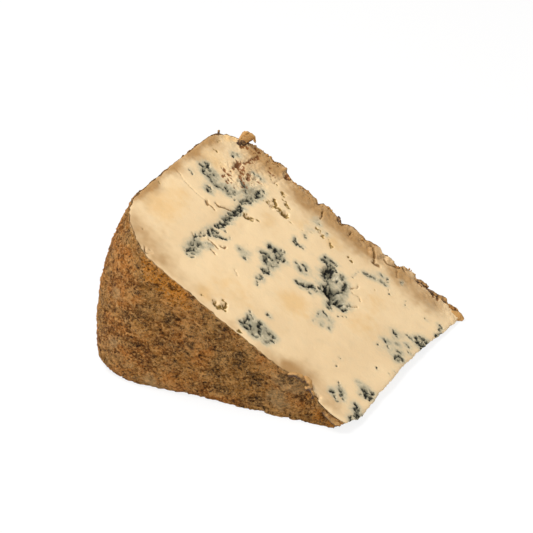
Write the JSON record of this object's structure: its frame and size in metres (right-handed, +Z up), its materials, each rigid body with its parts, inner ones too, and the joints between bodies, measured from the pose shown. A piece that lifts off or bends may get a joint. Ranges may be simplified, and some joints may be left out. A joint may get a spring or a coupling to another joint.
{
  "type": "blue cheese wedge",
  "caption": "Wedge of natural-rind blue cheese lying on one cut face, with rounded rind edges, blue-green veins and open pockets.",
  "frame": {"origin": "middle of the bounding box's underside, on the surface that the wedge lies on", "axes": "+Z up; +X towards the thin end of the wedge, where the two cuts meet, so the wheel's round side is at -X; +Y from the wheel's flat front to its flat back"},
  "size_m": [0.1006, 0.0896, 0.0549],
  "materials": {
    "cheese": "pale cream paste, moist and softly uneven, browner near the rind, with blue-green mould in veins and pockets",
    "rind": "dry mottled brown natural rind, fine-grained, with dark and pale patches"
  },
  "bodies": {
    "root": {"cheese_wedge": "cheese"}
  },
  "joints": []
}
